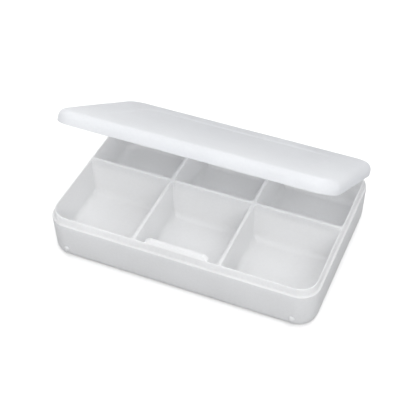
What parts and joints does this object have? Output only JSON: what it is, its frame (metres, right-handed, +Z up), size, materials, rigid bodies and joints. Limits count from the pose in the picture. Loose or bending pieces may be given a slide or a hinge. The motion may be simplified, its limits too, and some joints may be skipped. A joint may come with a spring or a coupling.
{
  "type": "pocket pill box",
  "caption": "Rectangular pocket pill box with a compartmented tray, a raised latch tab and a shallow lid hinged along the back.",
  "frame": {"origin": "centre of the tray's flat underside", "axes": "+X along the box's length to the right, -Y towards the latch side, +Y towards the hinge side, +Z up"},
  "size_m": [0.1, 0.0695, 0.0544],
  "materials": {
    "tray_plastic": "frosted natural polypropylene, slightly translucent",
    "lid_plastic": "frosted natural polypropylene with a fine satin texture"
  },
  "bodies": {
    "tray": {"tray_shell": "tray_plastic", "long_divider": "tray_plastic", "cross_divider_front_left": "tray_plastic", "cross_divider_front_right": "tray_plastic", "cross_divider_back_left": "tray_plastic", "cross_divider_back_right": "tray_plastic", "latch_tab": "tray_plastic", "tray_hinge_lugs_left": "tray_plastic", "tray_hinge_lugs_right": "tray_plastic"},
    "lid": {"lid_shell": "lid_plastic", "lid_catch_rib": "lid_plastic", "lid_hinge_left": "lid_plastic", "lid_hinge_right": "lid_plastic"}
  },
  "joints": [
    {"name": "lid_hinge", "type": "hinge", "parent": "tray", "child": "lid", "pos_m": [0, 0.0334, 0.013], "axis": [-1, 0, 0], "range_deg": [-33, 137]}
  ]
}
